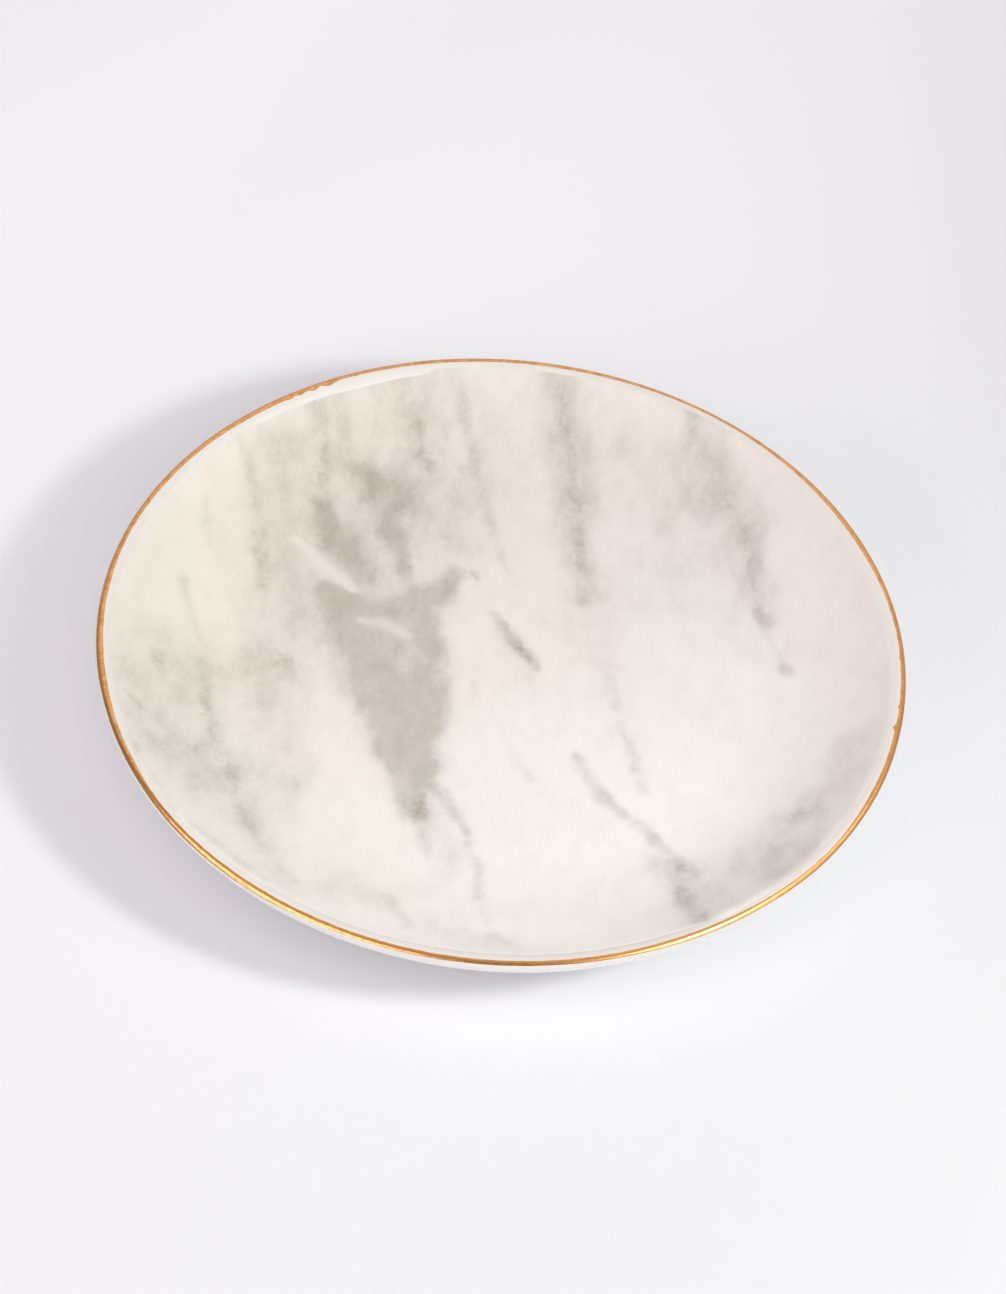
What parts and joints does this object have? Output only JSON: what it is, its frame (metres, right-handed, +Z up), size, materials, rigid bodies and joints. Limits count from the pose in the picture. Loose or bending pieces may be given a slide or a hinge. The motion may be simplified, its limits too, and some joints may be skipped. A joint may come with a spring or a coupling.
{
  "type": "ring dish",
  "caption": "Small round shallow dish for rings, in white glazed pottery on a foot ring, with a marble print inside and a gold line over the lip.",
  "frame": {"origin": "centre of the foot ring, on the table it stands on", "axes": "+Z up along the dish's axis of turning; +X to the right and +Y away from the viewer as the picture shows it"},
  "size_m": [0.12, 0.12, 0.0171],
  "materials": {
    "fired_clay": "matt",
    "white_glaze": "gloss",
    "marble_print": "satin gloss",
    "gold_lustre": "polished"
  },
  "bodies": {
    "root": {"clay_body": "fired_clay", "white_glaze": "white_glaze", "footwell_glaze": "white_glaze", "marble_transfer": "marble_print", "gold_line": "gold_lustre"}
  },
  "joints": []
}
